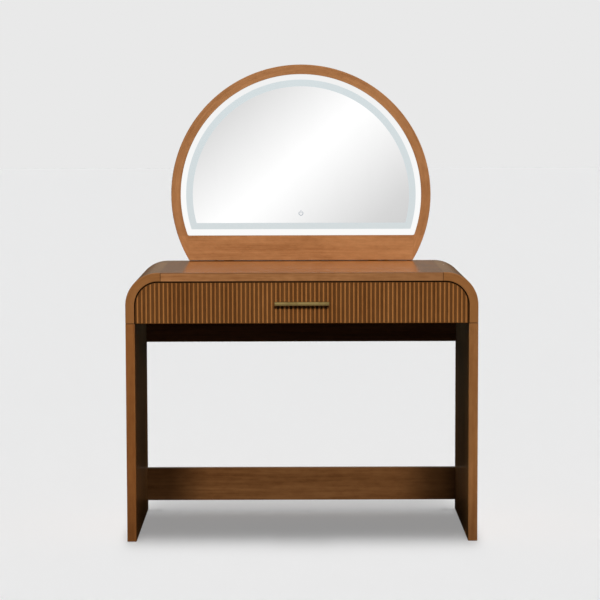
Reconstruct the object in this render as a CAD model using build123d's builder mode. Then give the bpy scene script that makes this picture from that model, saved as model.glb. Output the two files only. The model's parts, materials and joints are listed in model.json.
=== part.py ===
from build123d import *
import math
import os

# Dressing table with a lit mirror. +X is right, -Y is the front, +Z is up, millimetres.
# The origin is on the floor, under the middle of the whole object.

os.makedirs("parts", exist_ok=True)

# ---------------------------------------------------------------- driving dimensions
# Carcass
desk_width = 1000.0
desk_depth = 500.0
desk_height = 770.0
leg_thickness = 26.5
board_thickness = 25.0
corner_radius = 93.0
corner_run = 100.0
corner_bottom = 625.5
rear_board_thickness = 18.0
apron_bottom = 522.0
stretcher_bottom = 31.5
stretcher_height = 100.0
edge_ease = 1.0
front_round = 2.0
fit_gap = 0.3
bore_slack = 0.1
head_slack = 0.15

# Drawer
drawer_reveal = 3.5
front_inset = 2.0
front_thickness = 18.0
front_edge_chamfer = 1.6
rib_count = 77
rib_radius = 4.1
box_board = 12.0
box_length = 400.0
box_bottom_edge = 632.0
box_height = 76.0
bottom_thickness = 5.0
bottom_lift = 8.0
groove_depth = 6.0

# Ball-bearing runners, 45 mm high and 12.7 mm thick
runner_length = 400.0
runner_height = 45.0
runner_space = 12.7
runner_centre = 654.5
runner_setback = 2.0
runner_steel = 1.2
ball_gap = 2.2
web_gap = 2.6
outer_flange = 9.6
middle_lip_gap = 2.2
inner_flange = 6.0

# Bar handle on two posts
handle_length = 155.0
handle_diameter = 11.0
handle_standoff = 24.5
handle_spacing = 96.0
post_diameter = 8.0
handle_ease = 0.8
post_gap = 0.05

# Mirror
mirror_radius = 394.5
mirror_centre_lift = 200.5
mirror_board = 22.0
mirror_gap = 1.5
opening_radius = 366.0
base_height = 77.2
glass_recess = 1.5
glass_thickness = 4.0
tape_thickness = 1.0
ledge_width = 10.0
back_panel_thickness = 3.0
back_panel_overlap = 16.0
led_strip_width = 8.0
touch_mark_lift = 67.5
module_lift = 38.0

# Rear brackets and fasteners
bracket_thickness = 2.0
bracket_width = 30.0
bracket_height = 120.0
pan_head_height = 2.0
dowel_diameter = 8.0
dowel_length = 30.0
cam_diameter = 15.0
cam_setback = 34.0
bolt_diameter = 6.0
bolt_grip = 11.0

# ---------------------------------------------------------------- derived places
half_width = desk_width / 2
inner_leg = half_width - leg_thickness
inner_corner = half_width - board_thickness
top_underside = desk_height - board_thickness
corner_seam = half_width - corner_run
front_reach = handle_standoff + handle_diameter / 2 - front_inset
rear_reach = bracket_thickness + pan_head_height
overall_depth = desk_depth + front_reach + rear_reach
front_y = -overall_depth / 2 + front_reach
rear_y = front_y + desk_depth
middle_y = (front_y + rear_y) / 2
crest_y = front_y + front_inset
front_back_y = crest_y + front_thickness
box_half = inner_corner - runner_space
box_rear_y = front_back_y + box_length
runner_front_y = front_back_y + runner_setback
runner_rear_y = runner_front_y + runner_length
front_half = inner_corner - drawer_reveal
front_top = top_underside - drawer_reveal
handle_height = (corner_bottom + front_top) / 2
mirror_centre = desk_height + mirror_centre_lift
opening_foot = desk_height + base_height
mirror_front_y = rear_y - mirror_board
pocket_depth = glass_recess + glass_thickness + tape_thickness
glass_front_y = mirror_front_y + glass_recess
glass_back_y = glass_front_y + glass_thickness
ledge_y = mirror_front_y + pocket_depth
light_box_radius = opening_radius - ledge_width
light_box_foot = opening_foot + ledge_width
rebate_radius = light_box_radius + back_panel_overlap
rebate_foot = light_box_foot - back_panel_overlap
panel_inside_y = rear_y - back_panel_thickness
sides = ((-1, "left"), (1, "right"))


# ---------------------------------------------------------------- helpers
def upright(y):
    """Plane at depth y, with x to the right, z up, and its normal towards the front."""
    return Plane.XZ.offset(-y)


def write(piece, node):
    """Label the finished piece and write it as its own STEP file."""
    piece.part.label = node
    export_step(piece.part, f"parts/{node}.step")


def dowel(slack=0.0):
    """Dowel along local Z, half of it on each side of the joint. Slack makes its bore."""
    with BuildPart() as pin:
        Cylinder(dowel_diameter / 2 + slack, dowel_length + 10 * slack)
        if slack == 0.0:
            chamfer(pin.edges(), 1.0)
    return pin.part


def cam_lock(cam_depth, axis_depth):
    """Cam in a board's face: local Z is out of the face, local X is towards the joint."""
    with BuildPart() as cam:
        Cylinder(cam_diameter / 2 - 0.1, cam_depth, align=(Align.CENTER, Align.CENTER, Align.MAX))
        chamfer(cam.faces().sort_by(Axis.Z)[-1].edges(), 0.4)
        with BuildSketch(Plane.XY):
            Rectangle(9.0, 1.6)
            Rectangle(1.6, 9.0)
        extrude(amount=-2.0, mode=Mode.SUBTRACT)
        with BuildSketch(Plane.YZ):
            with Locations((0, -axis_depth)):
                Circle(bolt_diameter / 2 + 0.6)
        extrude(amount=cam_diameter, mode=Mode.SUBTRACT)
    return cam.part


def cam_bolt(axis_depth):
    """Bolt from the middle of the cam, along local X, into the board it pulls in."""
    with BuildPart() as bolt:
        with BuildSketch(Plane.YZ.offset(1.0)):
            with Locations((0, -axis_depth)):
                Circle(bolt_diameter / 2)
        extrude(amount=cam_setback + bolt_grip - 1.0)
        chamfer(bolt.edges(), 0.8)
    return bolt.part


def cam_bore(cam_depth, axis_depth):
    """Pocket for the cam and bore for its bolt."""
    with BuildPart() as bore:
        Cylinder(cam_diameter / 2, cam_depth + 0.2, align=(Align.CENTER, Align.CENTER, Align.MAX))
        with BuildSketch(Plane.YZ):
            with Locations((0, -axis_depth)):
                Circle(bolt_diameter / 2 + 0.5)
        extrude(amount=cam_setback + bolt_grip + 0.5)
    return bore.part


rim = 0.3


def screw(length, shank, head, head_height, countersunk):
    """Screw along local -Z. A countersunk head is flush with Z = 0, a pan head stands on it."""
    point_radius = 0.3
    point_start = shank - length
    with BuildPart() as body:
        with BuildSketch(Plane.XZ):
            with BuildLine():
                if countersunk:
                    Polyline(
                        (0, 0),
                        (head / 2, 0),
                        (head / 2, -rim),
                        (shank / 2, -head_height),
                        (shank / 2, point_start),
                        (point_radius, -length),
                        (0, -length),
                        close=True,
                    )
                else:
                    Polyline(
                        (0, head_height),
                        (head * 0.32, head_height),
                        (head / 2, head_height * 0.4),
                        (head / 2, 0),
                        (shank / 2, 0),
                        (shank / 2, point_start),
                        (point_radius, -length),
                        (0, -length),
                        close=True,
                    )
            make_face()
        revolve(axis=Axis.Z)
        recess_top = 0.0 if countersunk else head_height
        with BuildSketch(Plane.XY.offset(recess_top)):
            Rectangle(head * 0.5, head * 0.12)
            Rectangle(head * 0.12, head * 0.5)
        extrude(amount=-head_height * 0.6, mode=Mode.SUBTRACT)
    return body.part


def screw_bore(length, shank, head, head_height):
    """Bore that clears a countersunk screw, or a pan-head screw's shank when head is 0."""
    with BuildPart() as bore:
        Cylinder(
            shank / 2 + bore_slack, length + 1.0, align=(Align.CENTER, Align.CENTER, Align.MAX)
        )
        if head:
            with BuildSketch(Plane.XY):
                Circle(head / 2 + head_slack)
            extrude(amount=-rim - 0.05)
            with BuildSketch(Plane.XY.offset(-rim - 0.05)):
                Circle(head / 2 + head_slack)
            with BuildSketch(Plane.XY.offset(-head_height - bore_slack)):
                Circle(shank / 2 + bore_slack)
            loft()
    return bore.part


def truncated_disc(radius, foot, back_y, thickness, foot_corner=0.0):
    """Upright disc around the mirror's centre, cut off flat at height foot."""
    with BuildPart() as disc:
        with BuildSketch(upright(back_y)) as outline:
            with Locations((0, mirror_centre)):
                Circle(radius)
            with Locations((0, foot)):
                Rectangle(
                    2 * radius + 10,
                    2 * radius,
                    align=(Align.CENTER, Align.MAX),
                    mode=Mode.SUBTRACT,
                )
            if foot_corner:
                fillet(outline.vertices(), foot_corner)
        extrude(amount=thickness)
    return disc.part


def repeat(shape, places):
    """One part of separate solids: the same shape at each place."""
    with BuildPart() as group:
        with Locations(*places):
            add(shape)
    return group


# ---------------------------------------------------------------- joint fittings of the carcass
cam_steps = (-150, 150)
dowel_steps = (-210, 0, 210)
apron_cam_across = 150.0
apron_dowel_steps = (-320, 0, 320)
mirror_dowel_across = 260.0
apron_joint_height = corner_bottom - apron_bottom
rear_cam_heights = (
    apron_bottom + 0.29 * apron_joint_height,
    apron_bottom + 0.75 * apron_joint_height,
    stretcher_bottom + 0.25 * stretcher_height,
    stretcher_bottom + 0.75 * stretcher_height,
)
rear_dowel_heights = (
    apron_bottom + 0.52 * apron_joint_height,
    stretcher_bottom + 0.5 * stretcher_height,
)

# Cams: face point on the board that holds the cam, X towards the joint, Z out of the face.
leg_cam_places = [
    Plane(
        origin=(side * inner_leg, middle_y + along, corner_bottom - cam_setback),
        x_dir=(0, 0, 1),
        z_dir=(-side, 0, 0),
    )
    for side in (-1, 1)
    for along in cam_steps
]
top_cam_places = [
    Plane(
        origin=(side * (corner_seam - cam_setback), middle_y + along, top_underside),
        x_dir=(side, 0, 0),
        z_dir=(0, 0, -1),
    )
    for side in (-1, 1)
    for along in cam_steps
]
rear_cam_places = [
    Plane(
        origin=(side * (inner_leg - cam_setback), rear_y, height),
        x_dir=(side, 0, 0),
        z_dir=(0, 1, 0),
    )
    for side in (-1, 1)
    for height in rear_cam_heights
]
apron_top_cam_places = [
    Plane(
        origin=(side * apron_cam_across, rear_y, top_underside - cam_setback),
        x_dir=(0, 0, 1),
        z_dir=(0, 1, 0),
    )
    for side in (-1, 1)
]
thick_cam_depth = 17.0
thick_axis_depth = 13.2
top_cam_depth = 16.0
top_axis_depth = 12.5
thin_cam_depth = 13.0
thin_axis_depth = rear_board_thickness / 2

# Dowels: point on the joint, Z along the dowel.
leg_dowel_places = [
    Plane(origin=(side * (inner_leg + thick_axis_depth), middle_y + along, corner_bottom))
    for side in (-1, 1)
    for along in dowel_steps
]
top_dowel_places = [
    Plane(
        origin=(side * corner_seam, middle_y + along, top_underside + top_axis_depth),
        z_dir=(1, 0, 0),
    )
    for side in (-1, 1)
    for along in dowel_steps
]
rear_dowel_places = [
    Plane(
        origin=(side * inner_leg, rear_y - thin_axis_depth, height),
        z_dir=(1, 0, 0),
    )
    for side in (-1, 1)
    for height in rear_dowel_heights
]
apron_dowel_places = [
    Plane(origin=(across, rear_y - thin_axis_depth, top_underside))
    for across in apron_dowel_steps
]
mirror_dowel_places = [
    Plane(origin=(side * mirror_dowel_across, rear_y - mirror_board / 2, desk_height))
    for side in (-1, 1)
]

# Screws: the seat of the head, Z out of the seat, the shank going into the board.
runner_screw_steps = (35.0, 200.0, 365.0)
outer_seat_x = inner_corner - runner_steel
inner_seat_x = box_half + runner_steel
outer_screw_places = [
    Plane(
        origin=(side * outer_seat_x, runner_front_y + step, runner_centre),
        z_dir=(-side, 0, 0),
    )
    for side in (-1, 1)
    for step in runner_screw_steps
]
inner_screw_places = [
    Plane(
        origin=(side * inner_seat_x, runner_front_y + step, runner_centre),
        z_dir=(side, 0, 0),
    )
    for side in (-1, 1)
    for step in runner_screw_steps
]
bracket_across = 220.0
bracket_foot = desk_height - 70.0
bracket_screw_heights = (
    bracket_foot + 12,
    bracket_foot + 34,
    desk_height + 20,
    desk_height + 38,
)
bracket_screw_places = [
    Plane(origin=(side * bracket_across, rear_y + bracket_thickness, height), z_dir=(0, 1, 0))
    for side in (-1, 1)
    for height in bracket_screw_heights
]
outer_screw = {"length": 14.0, "shank": 3.5}
inner_screw = {"length": 10.0, "shank": 3.5}
bracket_screw = {"length": 15.0, "shank": 4.0}
low_head = {"head": 7.0, "head_height": 1.0}
bracket_head = {"head": 8.0, "head_height": pan_head_height}
no_head = {"head": 0.0, "head_height": 0.0}

# ---------------------------------------------------------------- carcass
for side, side_name in sides:
    with BuildPart() as side_panel:
        with BuildSketch(Plane.XY):
            with Locations((side * (inner_leg + leg_thickness / 2), middle_y)):
                Rectangle(leg_thickness, desk_depth)
        extrude(amount=corner_bottom)
        fillet(side_panel.faces().sort_by(Axis.Y)[0].edges().filter_by(Axis.Z), front_round)
        chamfer(side_panel.faces().sort_by(Axis.Z)[0].edges(), edge_ease)
        chamfer(side_panel.faces().sort_by(Axis.Z)[-1].edges(), edge_ease)
        with Locations(*leg_cam_places):
            add(cam_bore(thick_cam_depth, thick_axis_depth), mode=Mode.SUBTRACT)
        with Locations(*rear_cam_places):
            add(cam_bore(thin_cam_depth, thin_axis_depth), mode=Mode.SUBTRACT)
        with Locations(*leg_dowel_places, *rear_dowel_places):
            add(dowel(bore_slack), mode=Mode.SUBTRACT)
    write(side_panel, f"{side_name}_side_panel")

    arc_x = side * (half_width - corner_radius)
    arc_z = desk_height - corner_radius
    inner_radius = corner_radius - board_thickness
    diagonal = math.sqrt(0.5)
    with BuildPart() as top_corner:
        with BuildSketch(upright(rear_y)):
            with BuildLine():
                Polyline(
                    (side * inner_corner, arc_z),
                    (side * inner_corner, corner_bottom),
                    (side * half_width, corner_bottom),
                    (side * half_width, arc_z),
                )
                ThreePointArc(
                    (side * half_width, arc_z),
                    (arc_x + side * corner_radius * diagonal, arc_z + corner_radius * diagonal),
                    (arc_x, desk_height),
                )
                Polyline(
                    (arc_x, desk_height),
                    (side * corner_seam, desk_height),
                    (side * corner_seam, top_underside),
                    (arc_x, top_underside),
                )
                ThreePointArc(
                    (arc_x, top_underside),
                    (arc_x + side * inner_radius * diagonal, arc_z + inner_radius * diagonal),
                    (side * inner_corner, arc_z),
                )
            make_face()
        extrude(amount=desk_depth)
        front_rim = top_corner.faces().sort_by(Axis.Y)[0].edges()
        free_rim = front_rim.filter_by(
            lambda edge: abs(edge.center().X) > corner_seam + 0.1
            and edge.center().Z > corner_bottom + 0.1
        )
        fillet(free_rim, front_round)
        chamfer(top_corner.faces().sort_by(Axis.Z)[0].edges(), edge_ease)
        seam_face = top_corner.faces().filter_by(Axis.X).sort_by(lambda face: abs(face.center().X))[0]
        chamfer(seam_face.edges(), edge_ease)
        with Locations(*leg_cam_places):
            add(cam_bore(thick_cam_depth, thick_axis_depth), mode=Mode.SUBTRACT)
        with Locations(*top_cam_places):
            add(cam_bore(top_cam_depth, top_axis_depth), mode=Mode.SUBTRACT)
        with Locations(*leg_dowel_places, *top_dowel_places):
            add(dowel(bore_slack), mode=Mode.SUBTRACT)
        with Locations(*outer_screw_places):
            add(screw_bore(**outer_screw, **no_head), mode=Mode.SUBTRACT)
    write(top_corner, f"{side_name}_top_corner")

with BuildPart() as top_board:
    with BuildSketch(Plane.XY.offset(top_underside)):
        with Locations((0, middle_y)):
            Rectangle(2 * corner_seam, desk_depth)
    extrude(amount=board_thickness)
    fillet(top_board.faces().sort_by(Axis.Y)[0].edges().filter_by(Axis.X), front_round)
    chamfer(top_board.faces().sort_by(Axis.X)[0].edges(), edge_ease)
    chamfer(top_board.faces().sort_by(Axis.X)[-1].edges(), edge_ease)
    with Locations(*top_cam_places):
        add(cam_bore(top_cam_depth, top_axis_depth), mode=Mode.SUBTRACT)
    with Locations(*apron_top_cam_places):
        add(cam_bore(thin_cam_depth, thin_axis_depth), mode=Mode.SUBTRACT)
    with Locations(*top_dowel_places, *apron_dowel_places, *mirror_dowel_places):
        add(dowel(bore_slack), mode=Mode.SUBTRACT)
write(top_board, "top_board")

# Above the leg joint the apron is as wide as the curved corners allow, and follows their inside.
with BuildPart() as rear_apron:
    with BuildSketch(upright(rear_y)) as apron_outline:
        with Locations((0, corner_bottom)):
            Rectangle(
                2 * (inner_corner - fit_gap),
                top_underside - corner_bottom,
                align=(Align.CENTER, Align.MIN),
            )
        fillet(apron_outline.vertices().group_by(Axis.Y)[-1], corner_radius - board_thickness)
        with Locations((0, apron_bottom)):
            Rectangle(
                2 * inner_leg,
                corner_bottom - apron_bottom,
                align=(Align.CENTER, Align.MIN),
            )
    extrude(amount=rear_board_thickness)
    with Locations(*rear_cam_places, *apron_top_cam_places):
        add(cam_bore(thin_cam_depth, thin_axis_depth), mode=Mode.SUBTRACT)
    with Locations(*rear_dowel_places, *apron_dowel_places):
        add(dowel(bore_slack), mode=Mode.SUBTRACT)
    with Locations(*bracket_screw_places):
        add(screw_bore(**bracket_screw, **no_head), mode=Mode.SUBTRACT)
write(rear_apron, "rear_apron")

with BuildPart() as lower_stretcher:
    with BuildSketch(upright(rear_y)):
        with Locations((0, stretcher_bottom)):
            Rectangle(2 * inner_leg, stretcher_height, align=(Align.CENTER, Align.MIN))
    extrude(amount=rear_board_thickness)
    fillet(lower_stretcher.faces().sort_by(Axis.Y)[0].edges().filter_by(Axis.X), edge_ease)
    with Locations(*rear_cam_places):
        add(cam_bore(thin_cam_depth, thin_axis_depth), mode=Mode.SUBTRACT)
    with Locations(*rear_dowel_places):
        add(dowel(bore_slack), mode=Mode.SUBTRACT)
write(lower_stretcher, "lower_stretcher")

dowels = repeat(
    dowel(),
    leg_dowel_places
    + top_dowel_places
    + rear_dowel_places
    + apron_dowel_places
    + mirror_dowel_places,
)
write(dowels, "wood_dowels")

with BuildPart() as cam_locks:
    with Locations(*leg_cam_places):
        add(cam_lock(thick_cam_depth, thick_axis_depth))
    with Locations(*top_cam_places):
        add(cam_lock(top_cam_depth, top_axis_depth))
    with Locations(*rear_cam_places, *apron_top_cam_places):
        add(cam_lock(thin_cam_depth, thin_axis_depth))
write(cam_locks, "cam_locks")

with BuildPart() as cam_bolts:
    with Locations(*leg_cam_places):
        add(cam_bolt(thick_axis_depth))
    with Locations(*top_cam_places):
        add(cam_bolt(top_axis_depth))
    with Locations(*rear_cam_places, *apron_top_cam_places):
        add(cam_bolt(thin_axis_depth))
write(cam_bolts, "cam_bolts")


# ---------------------------------------------------------------- drawer runners
middle_web_x = outer_seat_x - web_gap
middle_height = runner_height - 2 * runner_steel - 2 * ball_gap
inner_height = middle_height - 2 * runner_steel - 2 * ball_gap


def runner_channel(side, web_x, lip_x, height):
    """C-shaped runner member: its web is at web_x and its two flanges reach to lip_x."""
    towards_lip = 1 if lip_x > web_x else -1
    hollow_start = web_x + towards_lip * runner_steel
    hollow_end = lip_x + towards_lip
    with BuildPart() as channel:
        with BuildSketch(upright(runner_rear_y)):
            with Locations((side * (web_x + lip_x) / 2, runner_centre)):
                Rectangle(abs(web_x - lip_x), height)
            with Locations((side * (hollow_start + hollow_end) / 2, runner_centre)):
                Rectangle(
                    abs(hollow_end - hollow_start),
                    height - 2 * runner_steel,
                    mode=Mode.SUBTRACT,
                )
        extrude(amount=runner_length)
    return channel.part


for side, side_name in sides:
    with BuildPart() as runner_outer:
        add(runner_channel(side, inner_corner, inner_corner - outer_flange, runner_height))
        with Locations(*outer_screw_places):
            add(screw_bore(**outer_screw, **no_head), mode=Mode.SUBTRACT)
    write(runner_outer, f"{side_name}_runner_outer")

    with BuildPart() as runner_middle:
        add(runner_channel(side, middle_web_x, box_half + middle_lip_gap, middle_height))
    write(runner_middle, f"{side_name}_runner_middle")

    with BuildPart() as runner_inner:
        add(runner_channel(side, box_half, box_half + inner_flange, inner_height))
        with Locations(*inner_screw_places):
            add(screw_bore(**inner_screw, **no_head), mode=Mode.SUBTRACT)
    write(runner_inner, f"{side_name}_runner_inner")

carcass_runner_screws = repeat(
    screw(**outer_screw, **low_head, countersunk=False), outer_screw_places
)
write(carcass_runner_screws, "carcass_runner_screws")
drawer_runner_screws = repeat(
    screw(**inner_screw, **low_head, countersunk=False), inner_screw_places
)
write(drawer_runner_screws, "drawer_runner_screws")

# ---------------------------------------------------------------- drawer
rib_foot_y = crest_y + rib_radius
rib_pitch = 2 * front_half / rib_count
inner_front_back_y = front_back_y + box_board
box_top = box_bottom_edge + box_height
panel_z = box_bottom_edge + bottom_lift
between_sides = box_half - box_board
groove_width = bottom_thickness + 0.2

handle_places = [
    Plane(origin=(side * handle_spacing / 2, inner_front_back_y, handle_height), z_dir=(0, 1, 0))
    for side in (-1, 1)
]
handle_screw = {"length": 36.0, "shank": 4.0}
handle_head = {"head": 8.5, "head_height": 2.2}
front_screw_steps = (-380, -140, 140, 380)
front_screw_places = [
    Plane(origin=(across, inner_front_back_y, height), z_dir=(0, 1, 0))
    for across in front_screw_steps
    for height in (box_bottom_edge + 24, box_top - 12)
]
front_screw = {"length": 22.0, "shank": 4.0}
front_head = {"head": 8.0, "head_height": 2.4}
box_screw_places = [
    Plane(origin=(side * box_half, depth, height), z_dir=(side, 0, 0))
    for side in (-1, 1)
    for depth in (front_back_y + box_board / 2, box_rear_y - box_board / 2)
    for height in (box_top - 28, box_top - 9)
]
box_screw = {"length": 30.0, "shank": 3.5}
box_head = {"head": 7.0, "head_height": 2.2}

# The drawer front fits inside the curved corners, with the same gap all round its top.
with BuildPart() as front_block:
    with BuildSketch(upright(front_back_y)) as front_outline:
        with Locations((0, corner_bottom)):
            Rectangle(2 * front_half, front_top - corner_bottom, align=(Align.CENTER, Align.MIN))
        fillet(
            front_outline.vertices().group_by(Axis.Y)[-1],
            corner_radius - board_thickness - drawer_reveal,
        )
    extrude(amount=front_thickness)
    chamfer(front_block.faces().sort_by(Axis.Y)[0].edges(), front_edge_chamfer)

with BuildPart() as drawer_front:
    with BuildSketch(Plane.XY.offset(corner_bottom)):
        with BuildLine():
            last_x = -front_half
            for rib in range(rib_count):
                rib_x = -front_half + (rib + 0.5) * rib_pitch
                Line((last_x, rib_foot_y), (rib_x - rib_radius, rib_foot_y))
                ThreePointArc(
                    (rib_x - rib_radius, rib_foot_y),
                    (rib_x, crest_y),
                    (rib_x + rib_radius, rib_foot_y),
                )
                last_x = rib_x + rib_radius
            Polyline(
                (last_x, rib_foot_y),
                (front_half, rib_foot_y),
                (front_half, front_back_y),
                (-front_half, front_back_y),
                (-front_half, rib_foot_y),
            )
        make_face()
    extrude(amount=front_top - corner_bottom)
    add(front_block.part, mode=Mode.INTERSECT)
    with Locations(*handle_places):
        add(screw_bore(**handle_screw, **no_head), mode=Mode.SUBTRACT)
    with Locations(*front_screw_places):
        add(screw_bore(**front_screw, **no_head), mode=Mode.SUBTRACT)
    with BuildSketch(upright(rib_foot_y)):
        with Locations(*[(side * handle_spacing / 2, handle_height) for side in (-1, 1)]):
            Circle(post_diameter / 2 + 2 * bore_slack)
    extrude(amount=rib_radius + 1, mode=Mode.SUBTRACT)
write(drawer_front, "drawer_front")

with BuildPart() as drawer_inner_front:
    with BuildSketch(upright(inner_front_back_y)):
        with Locations((0, box_bottom_edge)):
            Rectangle(2 * between_sides, box_height, align=(Align.CENTER, Align.MIN))
    extrude(amount=box_board)
    with BuildSketch(Plane.XY.offset(panel_z)):
        with Locations((0, inner_front_back_y)):
            Rectangle(2 * box_half, 2 * groove_depth)
    extrude(amount=groove_width, mode=Mode.SUBTRACT)
    with Locations(*handle_places):
        add(screw_bore(**handle_screw, **no_head), mode=Mode.SUBTRACT)
    with Locations(*front_screw_places):
        add(screw_bore(**front_screw, **front_head), mode=Mode.SUBTRACT)
    with Locations(*box_screw_places):
        add(screw_bore(**box_screw, **box_head), mode=Mode.SUBTRACT)
write(drawer_inner_front, "drawer_inner_front")

with BuildPart() as drawer_back:
    with BuildSketch(upright(box_rear_y)):
        with Locations((0, box_bottom_edge)):
            Rectangle(2 * between_sides, box_height, align=(Align.CENTER, Align.MIN))
    extrude(amount=box_board)
    with BuildSketch(Plane.XY.offset(panel_z)):
        with Locations((0, box_rear_y - box_board)):
            Rectangle(2 * box_half, 2 * groove_depth)
    extrude(amount=groove_width, mode=Mode.SUBTRACT)
    with Locations(*box_screw_places):
        add(screw_bore(**box_screw, **box_head), mode=Mode.SUBTRACT)
write(drawer_back, "drawer_back")

for side, side_name in sides:
    with BuildPart() as drawer_side:
        with BuildSketch(Plane.XY.offset(box_bottom_edge)):
            with Locations((side * (box_half - box_board / 2), front_back_y)):
                Rectangle(box_board, box_length, align=(Align.CENTER, Align.MIN))
        extrude(amount=box_height)
        chamfer(drawer_side.faces().sort_by(Axis.Z)[-1].edges().filter_by(Axis.Y), edge_ease)
        with BuildSketch(Plane.XY.offset(panel_z)):
            with Locations((side * between_sides, front_back_y)):
                Rectangle(2 * groove_depth, 3 * box_length)
        extrude(amount=groove_width, mode=Mode.SUBTRACT)
        with Locations(*box_screw_places):
            add(screw_bore(**box_screw, **box_head), mode=Mode.SUBTRACT)
        with Locations(*inner_screw_places):
            add(screw_bore(**inner_screw, **no_head), mode=Mode.SUBTRACT)
    write(drawer_side, f"drawer_{side_name}_side")

panel_tongue = groove_depth - 0.5
with BuildPart() as drawer_bottom:
    with BuildSketch(Plane.XY.offset(panel_z)):
        with Locations((0, (inner_front_back_y + box_rear_y - box_board) / 2)):
            Rectangle(
                2 * (between_sides + panel_tongue),
                box_rear_y - box_board - inner_front_back_y + 2 * panel_tongue,
            )
    extrude(amount=bottom_thickness)
write(drawer_bottom, "drawer_bottom")

drawer_box_screws = repeat(screw(**box_screw, **box_head, countersunk=True), box_screw_places)
write(drawer_box_screws, "drawer_box_screws")
drawer_front_screws = repeat(
    screw(**front_screw, **front_head, countersunk=True), front_screw_places
)
write(drawer_front_screws, "drawer_front_screws")
handle_screws = repeat(screw(**handle_screw, **handle_head, countersunk=False), handle_places)
write(handle_screws, "handle_screws")

# ---------------------------------------------------------------- handle
bar_y = crest_y - handle_standoff
with BuildPart() as handle_bar:
    with BuildSketch(Plane.YZ.offset(-handle_length / 2)):
        with Locations((bar_y, handle_height)):
            Circle(handle_diameter / 2)
    extrude(amount=handle_length)
    chamfer(handle_bar.edges(), handle_ease)
write(handle_bar, "handle_bar")

with BuildPart() as handle_posts:
    with BuildSketch(upright(rib_foot_y)):
        with Locations(*[(side * handle_spacing / 2, handle_height) for side in (-1, 1)]):
            Circle(post_diameter / 2)
    extrude(amount=rib_foot_y - bar_y)
    with BuildSketch(Plane.YZ.offset(-handle_length / 2)):
        with Locations((bar_y, handle_height)):
            Circle(handle_diameter / 2 + post_gap)
    extrude(amount=handle_length, mode=Mode.SUBTRACT)
    with Locations(*handle_places):
        add(screw_bore(**handle_screw, **no_head), mode=Mode.SUBTRACT)
write(handle_posts, "handle_posts")

# ---------------------------------------------------------------- mirror
panel_screw = {"length": 10.0, "shank": 3.0}
panel_head = {"head": 5.5, "head_height": 1.8}
panel_screw_radius = light_box_radius + back_panel_overlap / 2
panel_screw_angles = range(-10, 191, 25)
opening_corner = 6.0
glass_gap = 0.5
panel_screw_places = [
    Plane(
        origin=(
            panel_screw_radius * math.cos(math.radians(angle)),
            rear_y,
            mirror_centre + panel_screw_radius * math.sin(math.radians(angle)),
        ),
        z_dir=(0, 1, 0),
    )
    for angle in panel_screw_angles
] + [
    Plane(
        origin=(across, rear_y, light_box_foot - back_panel_overlap / 2),
        z_dir=(0, 1, 0),
    )
    for across in (-300, 0, 300)
]

# The brackets and dowels hold the mirror just clear of the table's top.
with BuildPart() as mirror_frame:
    add(truncated_disc(mirror_radius, desk_height + mirror_gap, rear_y, mirror_board))
    fillet(mirror_frame.faces().sort_by(Axis.Y)[0].edges(), front_round)
    add(
        truncated_disc(opening_radius, opening_foot, ledge_y, pocket_depth + 1, opening_corner),
        mode=Mode.SUBTRACT,
    )
    add(
        truncated_disc(light_box_radius, light_box_foot, rear_y + 1, mirror_board + 2),
        mode=Mode.SUBTRACT,
    )
    add(
        truncated_disc(rebate_radius, rebate_foot, rear_y + 1, back_panel_thickness + 1),
        mode=Mode.SUBTRACT,
    )
    with Locations(*mirror_dowel_places):
        add(dowel(bore_slack), mode=Mode.SUBTRACT)
    with Locations(*bracket_screw_places):
        add(screw_bore(**bracket_screw, **no_head), mode=Mode.SUBTRACT)
    with Locations(*panel_screw_places):
        add(screw_bore(**panel_screw, **panel_head), mode=Mode.SUBTRACT)
write(mirror_frame, "mirror_frame")

with BuildPart() as mirror_glass:
    add(
        truncated_disc(
            opening_radius - glass_gap,
            opening_foot + glass_gap,
            glass_back_y,
            glass_thickness,
            opening_corner - glass_gap,
        )
    )
    chamfer(mirror_glass.faces().sort_by(Axis.Y)[0].edges(), 0.5)
write(mirror_glass, "mirror_glass")

with BuildPart() as mirror_tape:
    add(truncated_disc(opening_radius - 2, opening_foot + 2, ledge_y, tape_thickness))
    add(
        truncated_disc(light_box_radius + 1, light_box_foot - 1, ledge_y, tape_thickness),
        mode=Mode.SUBTRACT,
    )
write(mirror_tape, "mirror_tape")

strip_back_y = panel_inside_y - 2
strip_thickness = 1.0
strip_radius = light_box_radius - 0.1
strip_foot = light_box_foot + 0.1
with BuildPart() as led_strip:
    add(truncated_disc(strip_radius, strip_foot, strip_back_y, led_strip_width))
    add(
        truncated_disc(
            strip_radius - strip_thickness,
            strip_foot + strip_thickness,
            strip_back_y,
            led_strip_width,
        ),
        mode=Mode.SUBTRACT,
    )
write(led_strip, "led_strip")

led_length = 3.5
led_width = 2.8
led_height = 0.8
led_radius = strip_radius - 0.1 - strip_thickness - led_height / 2
led_foot = strip_foot + strip_thickness + led_height / 2
arc_led_count = 41
arc_led_start = -16
arc_led_span = 212
foot_led_count = 19
foot_led_pitch = 33.0
with BuildPart() as led_packages:
    with BuildSketch(upright(strip_back_y - (led_strip_width - led_width) / 2)):
        with Locations((0, mirror_centre)):
            with PolarLocations(
                led_radius, arc_led_count, arc_led_start, arc_led_span, endpoint=True
            ):
                Rectangle(led_height, led_length)
        with Locations((0, led_foot)):
            with GridLocations(foot_led_pitch, 1, foot_led_count, 1):
                Rectangle(led_length, led_height)
    extrude(amount=led_width)
write(led_packages, "led_packages")

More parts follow.
